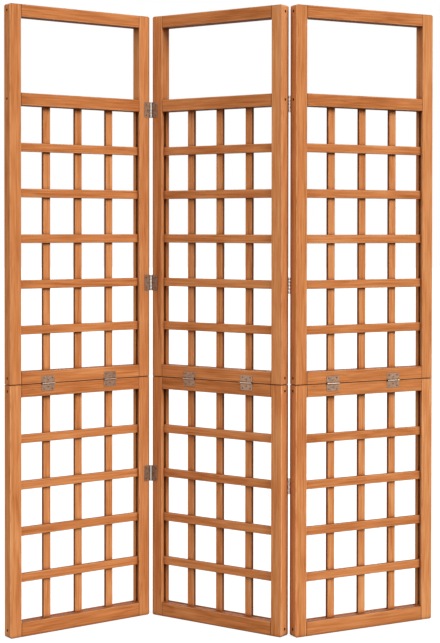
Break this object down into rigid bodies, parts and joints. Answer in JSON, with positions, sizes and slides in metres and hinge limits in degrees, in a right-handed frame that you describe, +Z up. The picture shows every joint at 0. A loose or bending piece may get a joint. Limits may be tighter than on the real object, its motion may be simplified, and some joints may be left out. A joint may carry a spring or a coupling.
{
  "type": "folding trellis screen",
  "caption": "Free-standing folding wooden trellis screen: hinged leaves stand in a zig-zag, each with an open window over a lattice for climbing plants and a hinged seam.",
  "frame": {"origin": "middle of the zig-zag's footprint, on the floor", "axes": "+Z up, +X along the screen to the right, -Y towards the viewer of the front"},
  "size_m": [1.2386, 0.309, 1.8],
  "materials": {
    "stile_wood": "satin orange-brown stain",
    "rail_wood": "satin orange-brown stain",
    "slat_wood": "satin orange-brown stain",
    "hinge_steel": "dull plated steel",
    "screw_steel": "dull plated steel"
  },
  "bodies": {
    "left_upper": {"left_upper_left_stile": "stile_wood", "left_upper_right_stile": "stile_wood", "left_upper_top_rail": "rail_wood", "left_upper_window_rail": "rail_wood", "left_upper_bottom_rail": "rail_wood", "left_upper_upright_slats": "slat_wood", "left_upper_level_slats": "slat_wood", "left_upper_frame_screws": "screw_steel", "left_upper_hinge_leaves": "hinge_steel", "left_upper_hinge_screws": "screw_steel"},
    "mid_upper": {"mid_upper_left_stile": "stile_wood", "mid_upper_right_stile": "stile_wood", "mid_upper_top_rail": "rail_wood", "mid_upper_window_rail": "rail_wood", "mid_upper_bottom_rail": "rail_wood", "mid_upper_upright_slats": "slat_wood", "mid_upper_level_slats": "slat_wood", "mid_upper_frame_screws": "screw_steel", "mid_upper_hinge_leaves": "hinge_steel", "mid_upper_hinge_screws": "screw_steel", "mid_upper_hinge_pins": "hinge_steel"},
    "right_upper": {"right_upper_left_stile": "stile_wood", "right_upper_right_stile": "stile_wood", "right_upper_top_rail": "rail_wood", "right_upper_window_rail": "rail_wood", "right_upper_bottom_rail": "rail_wood", "right_upper_upright_slats": "slat_wood", "right_upper_level_slats": "slat_wood", "right_upper_frame_screws": "screw_steel", "right_upper_hinge_leaves": "hinge_steel", "right_upper_hinge_screws": "screw_steel"},
    "left_lower": {"left_lower_left_stile": "stile_wood", "left_lower_right_stile": "stile_wood", "left_lower_top_rail": "rail_wood", "left_lower_bottom_rail": "rail_wood", "left_lower_upright_slats": "slat_wood", "left_lower_level_slats": "slat_wood", "left_lower_frame_screws": "screw_steel", "left_lower_hinge_leaves": "hinge_steel", "left_lower_hinge_screws": "screw_steel", "left_lower_hinge_pins": "hinge_steel"},
    "mid_lower": {"mid_lower_left_stile": "stile_wood", "mid_lower_right_stile": "stile_wood", "mid_lower_top_rail": "rail_wood", "mid_lower_bottom_rail": "rail_wood", "mid_lower_upright_slats": "slat_wood", "mid_lower_level_slats": "slat_wood", "mid_lower_frame_screws": "screw_steel", "mid_lower_hinge_leaves": "hinge_steel", "mid_lower_hinge_screws": "screw_steel"},
    "right_lower": {"right_lower_left_stile": "stile_wood", "right_lower_right_stile": "stile_wood", "right_lower_top_rail": "rail_wood", "right_lower_bottom_rail": "rail_wood", "right_lower_upright_slats": "slat_wood", "right_lower_level_slats": "slat_wood", "right_lower_frame_screws": "screw_steel", "right_lower_hinge_leaves": "hinge_steel", "right_lower_hinge_screws": "screw_steel", "right_lower_hinge_pins": "hinge_steel"}
  },
  "joints": [
    {"name": "left_swing", "type": "hinge", "parent": "mid_lower", "child": "left_lower", "pos_m": [-0.22185, 0.12473, 0.7199], "axis": [0, 0, -1], "range_deg": [-105, 71]},
    {"name": "right_swing", "type": "hinge", "parent": "mid_lower", "child": "right_lower", "pos_m": [0.19108, -0.10313, 0.7199], "axis": [0, 0, -1], "range_deg": [-117.6, 62.4]},
    {"name": "left_fold", "type": "hinge", "parent": "left_lower", "child": "left_upper", "pos_m": [-0.41052, -0.01745, 0.7199], "axis": [0.7986, 0.6018, 0], "range_deg": [0, 177]},
    {"name": "mid_fold", "type": "hinge", "parent": "mid_lower", "child": "mid_upper", "pos_m": [-0.02599, -0.00738, 0.7199], "axis": [0.829, -0.5592, 0], "range_deg": [0, 177]},
    {"name": "right_fold", "type": "hinge", "parent": "right_lower", "child": "right_upper", "pos_m": [0.41646, -0.02901, 0.7199], "axis": [0.8796, 0.4756, 0], "range_deg": [0, 177]}
  ]
}
